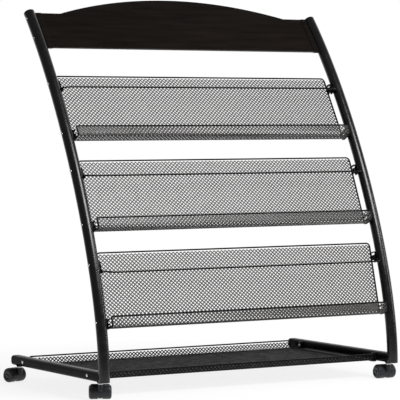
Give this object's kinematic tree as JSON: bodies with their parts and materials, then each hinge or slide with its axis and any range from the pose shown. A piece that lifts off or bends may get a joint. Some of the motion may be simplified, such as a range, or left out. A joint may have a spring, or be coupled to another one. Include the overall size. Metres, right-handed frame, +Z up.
{
  "type": "periodical display rack",
  "caption": "Mobile periodical rack: bowed tube uprights on caster rails hold leaning mesh trays with keeper wires, an arched header panel and a mesh base tray.",
  "frame": {"origin": "bottom centre of the rack's bounding box, on the floor midway between the uprights", "axes": "+X to the right as seen from the front, +Y to the rear, +Z up"},
  "size_m": [0.9316, 0.5072, 0.9942],
  "materials": {
    "black_paint": "gloss black paint",
    "header_board": "satin brown-black paint",
    "black_mesh": "satin black paint",
    "black_plastic": "semi-gloss black",
    "wheel_plastic": "satin black",
    "bright_zinc": "bright zinc plate",
    "bright_steel": "bright plated steel"
  },
  "bodies": {
    "rack": {"left_upright": "black_paint", "left_upright_cap": "black_plastic", "left_base_rail": "black_paint", "left_rail_plug": "black_plastic", "right_upright": "black_paint", "right_upright_cap": "black_plastic", "right_base_rail": "black_paint", "right_rail_plug": "black_plastic", "header_panel": "header_board", "lower_tray_mesh": "black_mesh", "lower_tray_rim": "black_paint", "lower_keeper_wire": "black_paint", "middle_tray_mesh": "black_mesh", "middle_tray_rim": "black_paint", "middle_keeper_wire": "black_paint", "upper_tray_mesh": "black_mesh", "upper_tray_rim": "black_paint", "upper_keeper_wire": "black_paint", "base_tray_mesh": "black_mesh", "base_tray_rim": "black_paint", "lower_tray_lower_left_screw": "bright_zinc", "lower_tray_upper_left_screw": "bright_zinc", "middle_tray_lower_left_screw": "bright_zinc", "middle_tray_upper_left_screw": "bright_zinc", "upper_tray_lower_left_screw": "bright_zinc", "upper_tray_upper_left_screw": "bright_zinc", "header_lower_left_screw": "bright_zinc", "header_upper_left_screw": "bright_zinc", "lower_tray_lower_right_screw": "bright_zinc", "lower_tray_upper_right_screw": "bright_zinc", "middle_tray_lower_right_screw": "bright_zinc", "middle_tray_upper_right_screw": "bright_zinc", "upper_tray_lower_right_screw": "bright_zinc", "upper_tray_upper_right_screw": "bright_zinc", "header_lower_right_screw": "bright_zinc", "header_upper_right_screw": "bright_zinc", "base_front_left_screw": "bright_zinc", "base_rear_left_screw": "bright_zinc", "base_front_right_screw": "bright_zinc", "base_rear_right_screw": "bright_zinc", "front_left_caster_stem": "bright_steel", "front_right_caster_stem": "bright_steel", "rear_left_caster_stem": "bright_steel", "rear_right_caster_stem": "bright_steel"},
    "front_left_caster": {"front_left_caster_hood": "black_plastic", "front_left_caster_axle": "bright_steel"},
    "front_left_wheel_a": {"front_left_caster_wheel_a": "wheel_plastic"},
    "front_left_wheel_b": {"front_left_caster_wheel_b": "wheel_plastic"},
    "front_right_caster": {"front_right_caster_hood": "black_plastic", "front_right_caster_axle": "bright_steel"},
    "front_right_wheel_a": {"front_right_caster_wheel_a": "wheel_plastic"},
    "front_right_wheel_b": {"front_right_caster_wheel_b": "wheel_plastic"},
    "rear_left_caster": {"rear_left_caster_hood": "black_plastic", "rear_left_caster_axle": "bright_steel"},
    "rear_left_wheel_a": {"rear_left_caster_wheel_a": "wheel_plastic"},
    "rear_left_wheel_b": {"rear_left_caster_wheel_b": "wheel_plastic"},
    "rear_right_caster": {"rear_right_caster_hood": "black_plastic", "rear_right_caster_axle": "bright_steel"},
    "rear_right_wheel_a": {"rear_right_caster_wheel_a": "wheel_plastic"},
    "rear_right_wheel_b": {"rear_right_caster_wheel_b": "wheel_plastic"}
  },
  "joints": [
    {"name": "front_left_swivel", "type": "hinge", "parent": "rack", "child": "front_left_caster", "pos_m": [-0.43, -0.22064, 0.0372], "axis": [0, 0, 1], "continuous": true},
    {"name": "front_left_wheel_a_spin", "type": "hinge", "parent": "front_left_caster", "child": "front_left_wheel_a", "pos_m": [-0.42202, -0.2045, 0.0175], "axis": [-0.8965, 0.4431, 0], "continuous": true},
    {"name": "front_left_wheel_b_spin", "type": "hinge", "parent": "front_left_caster", "child": "front_left_wheel_b", "pos_m": [-0.42202, -0.2045, 0.0175], "axis": [-0.8965, 0.4431, 0], "continuous": true},
    {"name": "front_right_swivel", "type": "hinge", "parent": "rack", "child": "front_right_caster", "pos_m": [0.43, -0.22064, 0.0372], "axis": [0, 0, 1], "continuous": true},
    {"name": "front_right_wheel_a_spin", "type": "hinge", "parent": "front_right_caster", "child": "front_right_wheel_a", "pos_m": [0.43075, -0.20265, 0.0175], "axis": [-0.9991, 0.0419, 0], "continuous": true},
    {"name": "front_right_wheel_b_spin", "type": "hinge", "parent": "front_right_caster", "child": "front_right_wheel_b", "pos_m": [0.43075, -0.20265, 0.0175], "axis": [-0.9991, 0.0419, 0], "continuous": true},
    {"name": "rear_left_swivel", "type": "hinge", "parent": "rack", "child": "rear_left_caster", "pos_m": [-0.43, 0.21236, 0.0372], "axis": [0, 0, 1], "continuous": true},
    {"name": "rear_left_wheel_a_spin", "type": "hinge", "parent": "rear_left_caster", "child": "rear_left_wheel_a", "pos_m": [-0.43577, 0.22941, 0.0175], "axis": [-0.9472, -0.3206, 0], "continuous": true},
    {"name": "rear_left_wheel_b_spin", "type": "hinge", "parent": "rear_left_caster", "child": "rear_left_wheel_b", "pos_m": [-0.43577, 0.22941, 0.0175], "axis": [-0.9472, -0.3206, 0], "continuous": true},
    {"name": "rear_right_swivel", "type": "hinge", "parent": "rack", "child": "rear_right_caster", "pos_m": [0.43, 0.21236, 0.0372], "axis": [0, 0, 1], "continuous": true},
    {"name": "rear_right_wheel_a_spin", "type": "hinge", "parent": "rear_right_caster", "child": "rear_right_wheel_a", "pos_m": [0.43577, 0.22941, 0.0175], "axis": [-0.9472, 0.3206, 0], "continuous": true},
    {"name": "rear_right_wheel_b_spin", "type": "hinge", "parent": "rear_right_caster", "child": "rear_right_wheel_b", "pos_m": [0.43577, 0.22941, 0.0175], "axis": [-0.9472, 0.3206, 0], "continuous": true}
  ]
}
